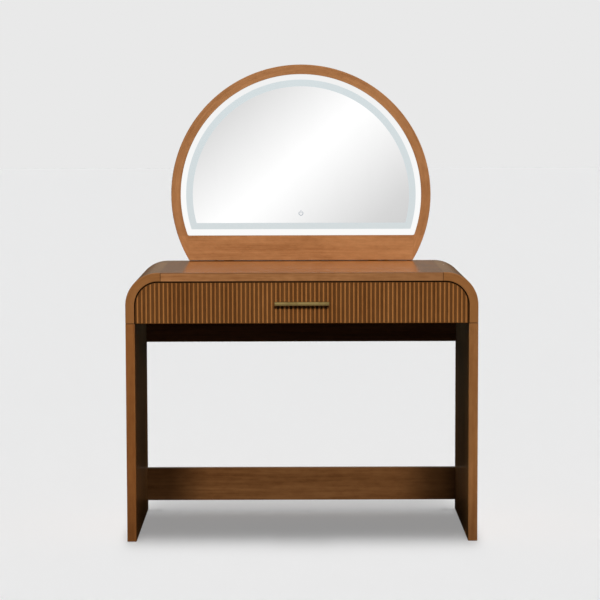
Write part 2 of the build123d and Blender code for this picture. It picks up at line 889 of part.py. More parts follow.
touch_height = opening_foot + touch_mark_lift
sensor_board = 1.6
sensor_chip = 1.4
with BuildPart() as touch_sensor:
    with BuildSketch(upright(glass_back_y + sensor_board)):
        with Locations((0, touch_height)):
            RectangleRounded(30, 30, 3)
    extrude(amount=sensor_board)
    with BuildSketch(upright(glass_back_y + sensor_board + sensor_chip)):
        with Locations((-8, touch_height - 6)):
            Rectangle(6, 5)
    extrude(amount=sensor_chip)
write(touch_sensor, "touch_sensor")

module_height = opening_foot + module_lift
module_across = 110.0
module_length = 62.0
module_width = 26.0
with BuildPart() as dimmer_module:
    with BuildSketch(upright(panel_inside_y)):
        with Locations((module_across, module_height)):
            RectangleRounded(module_length, module_width, 3)
    extrude(amount=8.5)
    chamfer(dimmer_module.faces().sort_by(Axis.Y)[0].edges(), 0.8)
write(dimmer_module, "dimmer_module")

inlet_across = -140.0
thread_radius = 4.0
flange_radius = 6.5
flange_thickness = 2.0
inlet_length = 12.0
socket_radius = 2.75
socket_depth = 11.0
pin_radius = 1.05
nut_half_width = 6.0
nut_thickness = 2.5
with BuildPart() as power_inlet:
    with BuildSketch(upright(rear_y + flange_thickness)):
        with Locations((inlet_across, module_height)):
            Circle(flange_radius)
    extrude(amount=flange_thickness)
    chamfer(power_inlet.faces().sort_by(Axis.Y)[-1].edges(), 0.4)
    with BuildSketch(upright(rear_y)):
        with Locations((inlet_across, module_height)):
            Circle(thread_radius)
    extrude(amount=inlet_length)
    with BuildSketch(upright(rear_y + flange_thickness)):
        with Locations((inlet_across, module_height)):
            Circle(socket_radius)
    extrude(amount=socket_depth, mode=Mode.SUBTRACT)
write(power_inlet, "power_inlet")

with BuildPart() as inlet_pin:
    with BuildSketch(upright(rear_y + flange_thickness - socket_depth)):
        with Locations((inlet_across, module_height)):
            Circle(pin_radius)
    extrude(amount=-(socket_depth - 1.5))
    fillet(inlet_pin.faces().sort_by(Axis.Y)[-1].edges(), pin_radius * 0.4)
write(inlet_pin, "inlet_pin")

with BuildPart() as inlet_nut:
    with BuildSketch(upright(panel_inside_y)):
        with Locations((inlet_across, module_height)):
            RegularPolygon(nut_half_width, 6, major_radius=False)
            Circle(thread_radius + bore_slack, mode=Mode.SUBTRACT)
    extrude(amount=nut_thickness)
write(inlet_nut, "inlet_nut")

# Flat two-core leads, taped to the inside of the back panel.
lead_width = 4.0
lead_thickness = 1.6
lead_bend = 8.0
inlet_lead_gap = 8.0
strip_lead_x = 250.0
touch_lead_x = 95.0
sensor_lead_x = 11.0
with BuildPart() as inner_leads:
    with BuildSketch(upright(panel_inside_y)):
        with BuildLine():
            Line(
                (inlet_across + inlet_lead_gap, module_height),
                (module_across - module_length / 2, module_height),
            )
        trace(line_width=lead_width)
        with BuildLine():
            FilletPolyline(
                (module_across + module_length / 2, module_height),
                (strip_lead_x, module_height),
                (strip_lead_x, led_foot + 1),
                radius=lead_bend,
            )
        trace(line_width=lead_width)
        with BuildLine():
            FilletPolyline(
                (touch_lead_x, module_height + module_width / 2),
                (touch_lead_x, touch_height),
                (sensor_lead_x - lead_width / 2, touch_height),
                radius=lead_bend,
            )
        trace(line_width=lead_width)
    extrude(amount=lead_thickness)
    with BuildSketch(upright(panel_inside_y - lead_thickness)):
        with Locations((sensor_lead_x, touch_height)):
            Rectangle(lead_width, lead_width)
    extrude(amount=panel_inside_y - lead_thickness - glass_back_y - sensor_board)
write(inner_leads, "inner_leads")

with BuildPart() as mirror_back_panel:
    add(
        truncated_disc(
            rebate_radius - fit_gap, rebate_foot + fit_gap, rear_y, back_panel_thickness
        )
    )
    with BuildSketch(upright(rear_y)):
        with Locations((inlet_across, module_height)):
            Circle(thread_radius + 2 * bore_slack)
    extrude(amount=back_panel_thickness, mode=Mode.SUBTRACT)
    with Locations(*panel_screw_places):
        add(screw_bore(**panel_screw, **panel_head), mode=Mode.SUBTRACT)
write(mirror_back_panel, "mirror_back_panel")

back_panel_screws = repeat(
    screw(**panel_screw, **panel_head, countersunk=True), panel_screw_places
)
write(back_panel_screws, "back_panel_screws")

# ---------------------------------------------------------------- rear brackets
with BuildPart() as mirror_brackets:
    with BuildSketch(upright(rear_y + bracket_thickness)):
        with Locations(
            *[(side * bracket_across, bracket_foot + bracket_height / 2) for side in (-1, 1)]
        ):
            RectangleRounded(bracket_width, bracket_height, 5)
    extrude(amount=bracket_thickness)
    with Locations(*bracket_screw_places):
        add(screw_bore(**bracket_screw, **no_head), mode=Mode.SUBTRACT)
write(mirror_brackets, "mirror_brackets")
bracket_screws = repeat(
    screw(**bracket_screw, **bracket_head, countersunk=False), bracket_screw_places
)
write(bracket_screws, "bracket_screws")
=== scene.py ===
import json
import math

import bmesh
import bpy
from mathutils import Matrix, Vector


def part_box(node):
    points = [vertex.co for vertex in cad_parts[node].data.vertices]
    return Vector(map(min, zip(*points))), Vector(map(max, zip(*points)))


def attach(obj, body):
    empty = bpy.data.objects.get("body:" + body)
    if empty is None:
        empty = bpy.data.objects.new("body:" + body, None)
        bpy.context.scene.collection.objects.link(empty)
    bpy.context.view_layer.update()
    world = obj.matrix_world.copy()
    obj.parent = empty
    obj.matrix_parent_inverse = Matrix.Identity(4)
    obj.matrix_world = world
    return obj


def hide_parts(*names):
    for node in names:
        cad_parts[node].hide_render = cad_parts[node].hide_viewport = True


# Dressing table with a lit mirror: looks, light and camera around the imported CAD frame.
# Metres, +X right, -Y front, +Z up, as in the frame.

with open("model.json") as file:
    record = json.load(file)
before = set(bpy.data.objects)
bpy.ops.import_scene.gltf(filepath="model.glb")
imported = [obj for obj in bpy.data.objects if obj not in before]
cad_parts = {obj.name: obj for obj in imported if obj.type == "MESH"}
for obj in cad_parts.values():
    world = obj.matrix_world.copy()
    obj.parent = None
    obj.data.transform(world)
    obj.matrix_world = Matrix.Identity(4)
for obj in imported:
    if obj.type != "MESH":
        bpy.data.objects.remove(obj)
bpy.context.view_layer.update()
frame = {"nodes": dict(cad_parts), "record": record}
nodes = frame["nodes"]
scene = bpy.context.scene

# ---------------------------------------------------------------- places read from the frame
desk_low, desk_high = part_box("top_board")
corner_low, corner_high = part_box("right_top_corner")
ring_low, ring_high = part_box("mirror_frame")
glass_low, glass_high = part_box("mirror_glass")
front_low, front_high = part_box("drawer_front")
leg_low, leg_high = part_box("right_side_panel")
sensor_low, sensor_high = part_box("touch_sensor")

desk_top = desk_high[2]
board = desk_high[2] - desk_low[2]
ring_radius = (ring_high[0] - ring_low[0]) / 2
ring_centre = ring_high[2] - ring_radius
rib_crest = front_low[1]

# ---------------------------------------------------------------- other measures of the CAD
corner_radius = 0.093  # outside of the bend
ring_width = 0.0285
opening_gap = 0.0005  # between the glass and the ring
rib_count = 77
rib_depth = 0.0041

ring_middle_radius = ring_radius - ring_width / 2
opening_foot = glass_low[2] - opening_gap
foot_half = math.sqrt(ring_radius ** 2 - (ring_centre - ring_low[2]) ** 2)
rib_pitch = (front_high[0] - front_low[0]) / rib_count

# ---------------------------------------------------------------- measures of the looks
blur = 0.001  # half the width in which one veneer passes into the next
seam_side = 0.3445  # from the middle to the board's seam, level with the foot of the opening
seam_lean = 0.06  # how far the seam moves out per metre of rise
joint_line = (0.0006, 0.0013)  # from a joint to where its dark line begins to fade, and is gone
edge_fade = (0.003, 0.001)  # depth at which the edge strip's colour begins, and is full


# ---------------------------------------------------------------- node helpers
class Graph:
    """The nodes of one material or world, added in code."""

    def __init__(self, tree):
        self.tree = tree
        tree.nodes.clear()

    def add(self, kind, values=None, **settings):
        node = self.tree.nodes.new("ShaderNode" + kind)
        for name, value in settings.items():
            setattr(node, name, value)
        for socket, value in (values or {}).items():
            self.feed(node.inputs[socket], value)
        return node

    def feed(self, socket, value):
        if isinstance(value, bpy.types.NodeSocket):
            self.tree.links.new(value, socket)
        else:
            socket.default_value = value

    def math(self, operation, first, second=0.0, third=0.0):
        node = self.add("Math", {0: first, 1: second, 2: third}, operation=operation)
        return node.outputs[0]

    def xyz(self, x, y, z):
        return self.add("CombineXYZ", {0: x, 1: y, 2: z}).outputs[0]

    def position(self):
        """Position on the object, in metres."""
        return self.add("TexCoord").outputs["Object"]

    def place(self):
        """The position's three numbers."""
        return self.add("SeparateXYZ", {0: self.position()}).outputs

    def noise(self, vector, scale, detail=3.0, roughness=0.5, distortion=0.0):
        values = {
            "Vector": vector,
            "Scale": scale,
            "Detail": detail,
            "Roughness": roughness,
            "Distortion": distortion,
        }
        return self.add("TexNoise", values).outputs[0]

    def stretched(self, vector, factors):
        """The vector with each of its numbers times its own factor."""
        node = self.add("VectorMath", {0: vector, 1: factors}, operation="MULTIPLY")
        return node.outputs[0]

    def remap(self, value, low, high, to_low=0.0, to_high=1.0, smooth=False):
        values = {
            "Value": value,
            "From Min": low,
            "From Max": high,
            "To Min": to_low,
            "To Max": to_high,
        }
        kind = "SMOOTHSTEP" if smooth else "LINEAR"
        return self.add("MapRange", values, interpolation_type=kind).outputs[0]

    def mix(self, factor, first, second):
        node = self.add("Mix", data_type="RGBA")
        for socket, value in ((0, factor), (6, first), (7, second)):
            self.feed(node.inputs[socket], value)
        return node.outputs[2]

    def mix_vector(self, factor, first, second):
        node = self.add("Mix", data_type="VECTOR")
        for socket, value in ((0, factor), (4, first), (5, second)):
            self.feed(node.inputs[socket], value)
        return node.outputs[1]

    def product(self, first, second):
        """Two colours multiplied."""
        node = self.add("Mix", data_type="RGBA", blend_type="MULTIPLY")
        for socket, value in ((0, 1.0), (6, first), (7, second)):
            self.feed(node.inputs[socket], value)
        return node.outputs[2]

    def tone(self, colour, factor):
        """The colour times a number, which may vary over the surface."""
        grey = self.add("CombineColor", {0: factor, 1: factor, 2: factor}).outputs[0]
        return self.product(colour, grey)

    def bump(self, height, strength, distance):
        values = {"Height": height, "Strength": strength, "Distance": distance}
        return self.add("Bump", values).outputs[0]

    def length(self, first, second):
        """The root of the sum of both squares."""
        squares = self.math("MULTIPLY", first, first), self.math("MULTIPLY", second, second)
        return self.math("SQRT", self.math("ADD", *squares))

    def surface(self, **inputs):
        """The Principled shader and the output; the names' underscores stand for spaces."""
        shader = self.add("BsdfPrincipled")
        for name, value in inputs.items():
            self.feed(shader.inputs[name.replace("_", " ")], value)
        output = self.add("OutputMaterial")
        self.tree.links.new(shader.outputs[0], output.inputs[0])


def rgb(red, green, blue):
    """A display colour, 0 to 255, as the linear colour that a shader takes."""
    def linear(level):
        level /= 255
        return level / 12.92 if level <= 0.04045 else ((level + 0.055) / 1.055) ** 2.4
    return (linear(red), linear(green), linear(blue), 1.0)


def material_graph(name):
    material = bpy.data.materials.new(name)
    material.use_nodes = True
    return material, Graph(material.node_tree)


# ---------------------------------------------------------------- wood
def grain_upright(g):
    x, y, z = g.place()
    return g.xyz(z, x, y)


def grain_across(g):
    x, y, z = g.place()
    return g.xyz(x, z, y)


def grain_corner(g):
    """Grain that runs up the side, round the bend and along the top."""
    x, y, z = g.place()
    bend_x = corner_high[0] - corner_radius
    bend_z = desk_top - corner_radius
    side = g.math("ABSOLUTE", x)
    out = g.math("MAXIMUM", g.math("SUBTRACT", side, bend_x), 0.0)
    up = g.math("MAXIMUM", g.math("SUBTRACT", z, bend_z), 0.0)
    turn = g.math("MULTIPLY", g.math("ARCTAN2", up, out), corner_radius - board / 2)
    below = g.math("MINIMUM", g.math("SUBTRACT", z, bend_z), 0.0)
    beyond = g.math("MAXIMUM", g.math("SUBTRACT", bend_x, side), 0.0)
    along = g.math("ADD", g.math("ADD", turn, below), beyond)
    return g.xyz(along, y, g.length(out, up))


def grain_ring(g):
    """Grain round the ring, and straight across the board under the glass."""
    x, y, z = g.place()
    rise = g.math("SUBTRACT", z, ring_centre)
    turn = g.math("MULTIPLY", g.math("ARCTAN2", x, rise), ring_middle_radius)
    round_grain = g.xyz(turn, g.length(x, rise), y)
    straight_grain = g.xyz(x, z, y)
    below = g.remap(z, opening_foot + blur, opening_foot - blur)
    shift = g.math("MULTIPLY", g.math("SUBTRACT", z, opening_foot), seam_lean)
    reach = g.math("SUBTRACT", g.math("ABSOLUTE", x), shift)
    inside = g.remap(reach, seam_side + blur, seam_side - blur)
    return g.mix_vector(g.math("MULTIPLY", below, inside), round_grain, straight_grain)


def painted_rib_light_and_shade(g):
    """Painted light and shade on the ribs: pale on the crests, dark on the flanks and floors."""
    depth = g.math("SUBTRACT", g.place()[1], rib_crest)
    return g.remap(depth, 0.01 * rib_depth, 0.34 * rib_depth, 1.55, 0.60, smooth=True)


def painted_shade_near_legs(g):
    """Painted shade that deepens towards the two legs."""
    middle_x = 0.0045
    reach = g.math("ABSOLUTE", g.math("SUBTRACT", g.place()[0], middle_x))
    return g.remap(reach, 0.266, 0.421, 1.0, 0.26, smooth=True)


def joint_lines(g):
    """Shadow in the grooves where the corners meet the legs and the top board."""
    x, y, z = g.place()
    from_leg = g.math("ABSOLUTE", g.math("SUBTRACT", z, corner_low[2]))
    from_board = g.math("ABSOLUTE", g.math("SUBTRACT", g.math("ABSOLUTE", x), corner_low[0]))
    leg_line = g.remap(from_leg, *joint_line, 0.10, 1.0)
    board_line = g.remap(from_board, *joint_line, 0.35, 1.0)
    return g.math("MINIMUM", leg_line, board_line)


def under_mirror(g):
    """1 on the strip of the top board in the gap under the mirror, 0 elsewhere."""
    x, y, z = g.place()
    behind_front = g.remap(y, ring_low[1] + 0.0005, ring_low[1] + 0.0015)
    on_top = g.remap(z, desk_top - 0.0006, desk_top - 0.0002)
    between = g.remap(g.math("ABSOLUTE", x), foot_half - 0.001, foot_half - 0.003)
    return g.math("MULTIPLY", g.math("MULTIPLY", behind_front, on_top), between)


def on_front_edge(g):
    """1 on the front edges of the top and the legs, 0 behind them."""
    return g.remap(g.place()[1], *(corner_low[1] + depth for depth in edge_fade))


def on_rear_edge(g):
    """1 on the rear edges of the top and the legs, 0 before them."""
    return g.remap(g.place()[1], *(corner_high[1] - depth for depth in edge_fade))


def top_shadows(g):
    """The gap under the mirror, the joints and the front arris; the edge is paler on the left."""
    x, y, z = g.place()
    shadow = g.math("MULTIPLY_ADD", under_mirror(g), -0.9, 1.0)
    from_arris = g.math("ADD", g.math("SUBTRACT", y, desk_low[1]), g.math("SUBTRACT", desk_top, z))
    arris = g.remap(from_arris, 0.0022, 0.0038, 0.62, 1.0)
    lean = g.math("MULTIPLY_ADD", on_front_edge(g), g.remap(x, -0.35, 0.35, 0.16, -0.09), 1.0)
    shade = g.math("MULTIPLY", g.math("MULTIPLY", shadow, arris), lean)
    return g.math("MULTIPLY", joint_lines(g), shade)


def leg_shadows(g):
    """The joint's line, and painted shade at the foot and on the face between the legs."""
    x, y, z = g.place()
    side = g.math("ABSOLUTE", x)
    inner_face = g.remap(side, leg_low[0] + 0.0010, leg_low[0] + 0.0004, 1.0, 0.50)
    foot = g.remap(z, 0.0, 0.20, 0.78, 1.0, smooth=True)
    return g.math("MULTIPLY", joint_lines(g), g.math("MULTIPLY", inner_face, foot))


def paler_foot(g):
    """The board under the glass is a slightly paler sheet than the ring."""
    return g.remap(g.place()[2], opening_foot + blur, opening_foot - blur, 1.0, 1.11)


def wood(
    name, grain, base, contrast=1.0, seed=0.0, per_rib=False, gloss=0.35, coat=0.55, tint=None,
    edge=None, dull=None,
):
    """Lacquered veneer: broad figure, streaks, fibres and open pores along the grain.

    Per rib gives each rib a shade of its own. The edge is the colour of the veneer strip on the
    board's front and rear edges, and dull gives where the lacquer is missing.
    """
    material, g = material_graph(name)
    vector = g.add("VectorMath", {0: grain(g), 1: (seed, seed * 0.37, seed * 0.71)}).outputs[0]
    sway = g.noise(g.stretched(vector, (2.2, 5.0, 5.0)), 1.0, 1.0)
    sway_offset = g.xyz(0.0, g.math("MULTIPLY_ADD", sway, 0.010, -0.005), 0.0)
    swayed = g.add("VectorMath", {0: vector, 1: sway_offset}).outputs[0]
    figure = g.noise(g.stretched(swayed, (1.6, 26.0, 26.0)), 1.0, 2.0, 0.55, 0.3)
    streaks = g.noise(g.stretched(swayed, (5.0, 160.0, 160.0)), 1.0, 4.0, 0.62)
    fibres = g.noise(g.stretched(swayed, (32.0, 900.0, 900.0)), 1.0, 2.0, 0.6)
    pores = g.remap(
        g.noise(g.stretched(swayed, (95.0, 1700.0, 1700.0)), 1.0, 1.0, 0.5), 0.60, 0.70, smooth=True
    )
    blotch = g.noise(g.stretched(vector, (5.0, 9.0, 9.0)), 1.0, 2.0)
    mottle = g.noise(g.stretched(vector, (38.0, 90.0, 90.0)), 1.0, 2.0)
    shade = 1.0
    for layer, weight in (
        (figure, 0.85), (streaks, 0.80), (fibres, 0.25), (blotch, 0.35), (mottle, 0.45)
    ):
        swing = g.math("SUBTRACT", layer, 0.5)
        shade = g.math("MULTIPLY_ADD", swing, weight * contrast, shade)
    shade = g.math("MULTIPLY_ADD", pores, -0.22, shade)
    if per_rib:
        x = g.place()[0]
        index = g.math("FLOOR", g.math("DIVIDE", g.math("SUBTRACT", x, front_low[0]), rib_pitch))
        draw = g.add("TexWhiteNoise", {"W": index}, noise_dimensions="1D").outputs[0]
        shade = g.math("MULTIPLY_ADD", g.math("SUBTRACT", draw, 0.5), 0.14, shade)
    if edge:
        on_edge = g.math("MAXIMUM", on_front_edge(g), on_rear_edge(g))
        base = g.mix(on_edge, base, edge)
        calm = g.math("MULTIPLY_ADD", on_edge, -0.45, 1.0)
        shade = g.math("MULTIPLY_ADD", g.math("SUBTRACT", shade, 1.0), calm, 1.0)
    dark = g.product(base, (0.66, 0.58, 0.50, 1.0))
    light = g.product(base, (1.30, 1.38, 1.48, 1.0))
    low_half = g.mix(g.remap(shade, 0.55, 1.0), dark, base)
    colour = g.mix(g.remap(shade, 1.0, 1.45), low_half, light)
    if tint:
        colour = g.tone(colour, tint(g))
    rough = g.math("MULTIPLY_ADD", fibres, 0.16, gloss)
    rough = g.math("MULTIPLY_ADD", pores, 0.15, rough)
    relief = g.math("MULTIPLY_ADD", pores, -1.0, g.math("MULTIPLY", fibres, 0.35))
    normal = g.bump(relief, 0.25, 0.0004)
    if dull:
        coat = g.math("MULTIPLY_ADD", dull(g), -coat, coat)
        rough = g.math("MULTIPLY_ADD", dull(g), 0.4, rough)
    telegraphed = g.bump(streaks, 1.0, 0.00004)
    g.surface(
        Base_Color=colour,
        Roughness=rough,
        Normal=normal,
        IOR=1.5,
        Coat_Weight=coat,
        Coat_Normal=telegraphed,
        Coat_Roughness=0.12,
        Coat_IOR=1.5,
    )
    return material


# ---------------------------------------------------------------- other materials
brush_factors = {
    None: (700.0, 700.0, 700.0),
    "x": (30.0, 2500.0, 2500.0),
    "y": (2500.0, 30.0, 2500.0),
}


def metal(name, base, roughness, brushed=None, tarnish=0.2):
    """Metal with brushing along one axis, faint tarnish in patches and fine scratches."""
    material, g = material_graph(name)
    vector = g.position()
    scratch = 0.12
    brush = g.noise(g.stretched(vector, brush_factors[brushed]), 1.0, 3.0, 0.6)
    patches = g.noise(vector, 55.0, 4.0, 0.6)
    stain = g.remap(patches, 0.42, 0.72, smooth=True)
    darker = tuple(base[i] * (1.0 - tarnish * (1.0, 1.1, 1.3)[i]) for i in range(3)) + (1.0,)
    colour = g.mix(stain, base, darker)
    colour = g.tone(colour, g.remap(brush, 0.3, 0.7, 0.90, 1.06))
    rough = g.math("MULTIPLY_ADD", brush, scratch, roughness - scratch / 2)
    rough = g.math("MULTIPLY_ADD", stain, 0.10, rough)
    g.surface(
        Base_Color=colour,
        Metallic=1.0,
        Roughness=rough,
        Normal=g.bump(brush, 0.12, 0.0002),
    )
    return material


def plastic(name, base, roughness, grain_scale=1400.0, depth=0.15):
    """Moulded plastic or resin with a fine eroded grain and slight cloudiness."""
    material, g = material_graph(name)
    vector = g.position()
    grain = g.noise(vector, grain_scale, 2.0, 0.6)
    cloud = g.noise(vector, 28.0, 3.0)
    colour = g.tone(base, g.remap(cloud, 0.25, 0.75, 0.94, 1.06))
    rough = g.math("MULTIPLY_ADD", grain, 0.14, roughness - 0.07)
    rough = g.math("MULTIPLY_ADD", cloud, 0.08, rough)
    g.surface(Base_Color=colour, Roughness=rough, Normal=g.bump(grain, depth, 0.0002), IOR=1.48)
    return material


def fibreboard(name, base):
    """Smooth face of hardboard: pressed fibres lying every way, with darker specks."""
    material, g = material_graph(name)
    vector = g.position()
    one_way = g.noise(g.stretched(vector, (140.0, 900.0, 900.0)), 1.0, 3.0, 0.65, 0.8)
    other_way = g.noise(g.stretched(vector, (900.0, 900.0, 160.0)), 1.0, 3.0, 0.65, 0.8)
    fibres = g.math("MAXIMUM", one_way, other_way)
    specks = g.remap(g.noise(vector, 520.0, 1.0), 0.66, 0.74, smooth=True)
    cloud = g.noise(vector, 9.0, 3.0)
    shade = g.remap(fibres, 0.35, 0.8, 0.80, 1.18)
    shade = g.math("MULTIPLY_ADD", specks, -0.35, shade)
    shade = g.math("MULTIPLY_ADD", g.math("SUBTRACT", cloud, 0.5), 0.22, shade)
    g.surface(
        Base_Color=g.tone(base, shade),
        Roughness=g.math("MULTIPLY_ADD", fibres, 0.2, 0.48),
        Normal=g.bump(fibres, 0.2, 0.0003),
        IOR=1.45,
    )
    return material


def circuit(name, base, trace_colour):
    """Solder-masked circuit board with faint copper tracks under the mask."""
    material, g = material_graph(name)
    vector = g.position()
    tracks = g.add("TexBrick", {"Vector": vector, "Scale": 260.0, "Mortar Size": 0.06})
    tracks.inputs["Color1"].default_value = base
    tracks.inputs["Color2"].default_value = tuple(c * 0.9 for c in base[:3]) + (1.0,)
    tracks.inputs["Mortar"].default_value = trace_colour
    mask = g.noise(vector, 800.0, 2.0)
    g.surface(
        Base_Color=tracks.outputs[0],
        Roughness=g.math("MULTIPLY_ADD", mask, 0.12, 0.26),
        Normal=g.bump(tracks.outputs[1], 0.2, 0.0001),
    )
    return material


def silvering(name, tint):
    """Front of a silvered mirror: nearly smooth, with a faint wipe pattern in its gloss."""
    material, g = material_graph(name)
    wipe = g.noise(g.stretched(g.position(), (14.0, 1.0, 5.0)), 1.0, 3.0, 0.5, 1.2)
    shade = g.remap(wipe, 0.2, 0.8, 0.985, 1.0)
    g.surface(
        Base_Color=g.tone(tint, shade),
        Metallic=1.0,
        Roughness=g.math("MULTIPLY_ADD", wipe, 0.006, 0.004),
        Normal=g.bump(wipe, 0.01, 0.00005),
    )
    return material


def dimmer_top(g):
    """The light behind the clear margin falls off towards the top."""
    return g.remap(g.place()[2], ring_centre, ring_centre + ring_radius, 1.0, 0.89)


def frosted(name, base, glow, fade=None):
    """Glass lit from behind: the sandblasted band, the clear margin and the touch mark."""
    material, g = material_graph(name)
    vector = g.position()
    blast = g.noise(vector, 1800.0, 2.0, 0.6)
    cloud = g.noise(vector, 24.0, 2.0)
    if fade:
        glow = g.tone(glow, fade(g))
    g.surface(
        Base_Color=g.tone(base, g.remap(cloud, 0.2, 0.8, 0.97, 1.03)),
        Roughness=g.math("MULTIPLY_ADD", blast, 0.2, 0.5),
        Normal=g.bump(blast, 0.2, 0.0001),
        Emission_Color=glow,
        Emission_Strength=1.0,
    )
    return material


wood_ring = wood("veneer_mirror_ring", grain_ring, rgb(175, 122, 78), 1.1, 3.1, tint=paler_foot)
wood_top = wood(
    "veneer_top", grain_across, rgb(174, 102, 30), 2.2, 11.7, coat=1.0, tint=top_shadows,
    edge=rgb(176, 122, 77), dull=under_mirror,
)
wood_corner = wood(
    "veneer_corner", grain_corner, rgb(190, 127, 64), 1.6, 5.3, coat=1.0, tint=joint_lines,
    edge=rgb(159, 106, 60),
)
wood_left = wood(
    "veneer_left_leg", grain_upright, rgb(176, 116, 58), 1.6, 17.9, tint=leg_shadows,
    edge=rgb(151, 95, 49),
)
wood_right = wood(
    "veneer_right_leg", grain_upright, rgb(176, 118, 60), 1.6, 23.4, tint=leg_shadows,
    edge=rgb(163, 110, 64),
)
wood_apron = wood("veneer_apron", grain_across, rgb(164, 112, 66), 1.2, 37.4)
# The stretcher's veneer is darker than the others and darker still towards the legs: both are
# painted shade.
wood_stretcher = wood(
    "veneer_stretcher", grain_across, rgb(131, 86, 48), 1.5, 31.2, tint=painted_shade_near_legs
)
# The ribs' tint is painted light on the crests and painted shade on the flanks and in the grooves.
wood_ribs = wood(
    "veneer_ribs", grain_upright, rgb(156, 102, 54), 0.8, 41.6, per_rib=True, tint=painted_rib_light_and_shade
)
foil = wood("drawer_foil", grain_across, rgb(140, 96, 60), 0.45, 52.8, gloss=0.5)
beech = wood("beech", grain_across, rgb(206, 172, 128), 0.4, 61.0, gloss=0.6)
hardboard = fibreboard("hardboard_face", rgb(120, 88, 60))
brass_bar = metal("brass_bar", rgb(176, 152, 96), 0.30, "x", 0.25)
brass_post = metal("brass_post", rgb(170, 146, 92), 0.34, "y", 0.25)
zinc = metal("zinc_plated_steel", rgb(186, 188, 192), 0.32, "y", 0.15)
black_steel = metal("black_coated_steel", rgb(38, 38, 40), 0.42, "y", 0.15)
screw_zinc = metal("zinc_plated_screws", rgb(176, 176, 180), 0.30, None, 0.2)
cast_zinc = metal("cast_zinc_cams", rgb(150, 152, 155), 0.48, None, 0.25)
nickel = metal("nickel_plate", rgb(200, 198, 190), 0.18, None, 0.1)
foam = plastic("acrylic_foam", rgb(235, 235, 232), 0.75, 900.0, 0.3)
film = plastic("strip_film_white", rgb(240, 240, 236), 0.35)
resin = plastic("phosphor_resin", rgb(245, 232, 150), 0.25)
board_green = circuit("sensor_board", rgb(28, 84, 58), rgb(46, 112, 70))
black = plastic("black_plastic", rgb(28, 28, 30), 0.48)
sheath = plastic("white_lead_sheath", rgb(230, 230, 228), 0.4)
mirror_silver = silvering("mirror_silver", (0.985, 0.985, 0.985, 1.0))
band_frost = frosted("frosted_band", (0.25, 0.25, 0.25, 1.0), (0.430, 0.503, 0.528, 1.0))
mark_frost = frosted("touch_mark", (0.16, 0.16, 0.16, 1.0), (0.24, 0.30, 0.36, 1.0))
margin_glass = frosted(
    "mirror_margin", (0.10, 0.10, 0.10, 1.0), (0.86, 0.87, 0.87, 1.0), fade=dimmer_top
)

finishes = {
    "mirror_frame": wood_ring,
    "top_board": wood_top,
    "left_top_corner": wood_corner,
    "right_top_corner": wood_corner,
    "left_side_panel": wood_left,
    "right_side_panel": wood_right,
    "rear_apron": wood_apron,
    "lower_stretcher": wood_stretcher,
    "drawer_front": wood_ribs,
    "handle_bar": brass_bar,
    "handle_posts": brass_post,
}
slot_finishes = {
    "drawer_board": foil,
    "hardboard": hardboard,
    "aged_brass": brass_bar,
    "black_steel": black_steel,
    "zinc_plate": zinc,
    "screw_steel": screw_zinc,
    "cast_zinc": cast_zinc,
    "beech_dowel": beech,
    "silvered_mirror": mirror_silver,
    "foam_tape": foam,
    "strip_film": film,
    "led_resin": resin,
    "circuit_board": board_green,
    "black_plastic": black,
    "nickel": nickel,
    "lead_sheath": sheath,
}
for part in frame["record"]["subparts"]:
    name = part["node"]
    finish = finishes.get(name) or slot_finishes[part["material_slot"]]
    for slot in nodes[name].material_slots:
        slot.material = finish


# ---------------------------------------------------------------- mesh helpers
def new_piece(name, mesh_tools, materials, body):
    """An object from a bmesh, riding on a body, with its materials."""
    mesh = bpy.data.meshes.new(name)
    mesh_tools.to_mesh(mesh)
    mesh_tools.free()
    piece = bpy.data.objects.new(name, mesh)
    scene.collection.objects.link(piece)
    for material in materials:
        mesh.materials.append(material)
    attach(piece, body)
    return piece


def truncated_outline(radius, foot, corner):
    """Points in X and Z of a disc round the mirror's centre, cut off flat at foot."""
    arc_steps = 200
    corner_steps = 8
    foot_steps = 40
    corner_z = foot + corner
    corner_x = math.sqrt((radius - corner) ** 2 - (corner_z - ring_centre) ** 2)
    start = math.atan2(corner_z - ring_centre, corner_x)
    points = []
    for step in range(arc_steps + 1):
        angle = start + (math.pi - 2 * start) * step / arc_steps
        points.append((radius * math.cos(angle), ring_centre + radius * math.sin(angle)))
    for step in range(1, corner_steps + 1):
        angle = (math.pi - start) + (math.pi / 2 + start) * step / corner_steps
        points.append((-corner_x + corner * math.cos(angle), corner_z + corner * math.sin(angle)))
    for step in range(1, foot_steps + 1):
        points.append((-corner_x + 2 * corner_x * step / foot_steps, foot))
    for step in range(1, corner_steps):
        angle = -math.pi / 2 + (math.pi / 2 + start) * step / corner_steps
        points.append((corner_x + corner * math.cos(angle), corner_z + corner * math.sin(angle)))
    return points


def loop_of(mesh_tools, points, y):
    return [mesh_tools.verts.new((x, y, z)) for x, z in points]


def stitch(mesh_tools, first, second, index):
    """Faces between two loops with the same number of points."""
    count = len(first)
    for i in range(count):
        j = (i + 1) % count
        face = mesh_tools.faces.new((first[i], first[j], second[j], second[i]))
        face.material_index = index


# ---------------------------------------------------------------- mirror pane
glass_radius = (glass_high[0] - glass_low[0]) / 2
glass_foot = glass_low[2]
glass_corner = 0.0055
ground = 0.0012  # width of the ground arris round the front
band_outer = 0.349
band_inner = 0.3288
band_outer_foot = opening_foot + 0.0195
band_inner_foot = opening_foot + 0.0385
band_corner = 0.0015
band_sink = 0.0002

